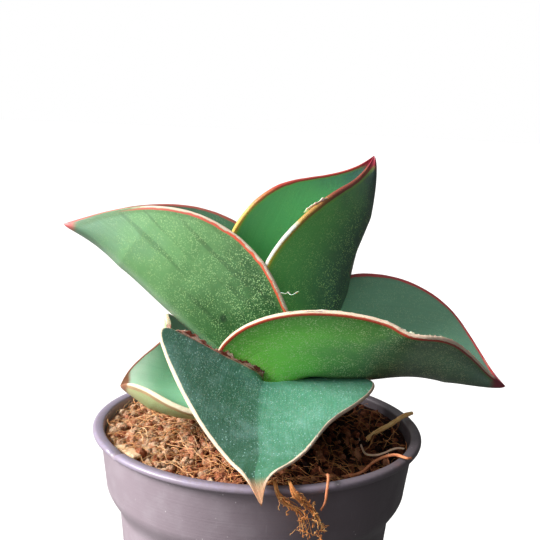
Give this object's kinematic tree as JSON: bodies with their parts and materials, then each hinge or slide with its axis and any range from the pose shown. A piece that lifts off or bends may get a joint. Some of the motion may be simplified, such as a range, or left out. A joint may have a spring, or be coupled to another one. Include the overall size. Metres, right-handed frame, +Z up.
{
  "type": "potted snake plant",
  "caption": "Young boat-leaved snake plant with arching keeled leaves, rooted in coir in a dark plastic nursery pot with a rolled rim and a stepped collar; it stands on its flat base.",
  "frame": {"origin": "middle of the pot's flat base, on the face it stands on", "axes": "+Z up along the pot's axis; +X to the viewer's right and +Y to the back, with the broad dry-tipped leaf hanging over the rim at -Y"},
  "size_m": [0.1235, 0.0948, 0.154],
  "materials": {
    "pot_plastic": "satin thermoformed plastic",
    "soil_coir": "loose damp coir",
    "rhizome_skin": "smooth skin",
    "leaf_upright_skin": "waxy leaf",
    "leaf_left_skin": "waxy leaf",
    "leaf_right_skin": "waxy leaf",
    "leaf_low_left_skin": "waxy leaf",
    "leaf_front_skin": "waxy leaf",
    "root_on_rim_fibre": "dry root",
    "root_pale_fibre": "dry root",
    "root_brown_fibre": "dry root",
    "root_hanging_fibre": "dry root",
    "coir_strand_long_fibre": "coir fibre",
    "coir_strand_short_fibre": "coir fibre",
    "bark_pale": "dry bark"
  },
  "bodies": {
    "root": {"pot": "pot_plastic", "soil": "soil_coir", "rhizome": "rhizome_skin", "leaf_upright": "leaf_upright_skin", "leaf_left": "leaf_left_skin", "leaf_right": "leaf_right_skin", "leaf_low_left": "leaf_low_left_skin", "leaf_front": "leaf_front_skin", "root_on_rim": "root_on_rim_fibre", "root_pale": "root_pale_fibre", "root_brown": "root_brown_fibre", "root_hanging": "root_hanging_fibre", "coir_strand_long": "coir_strand_long_fibre", "coir_strand_short": "coir_strand_short_fibre", "bark_chip": "bark_pale"}
  },
  "joints": []
}
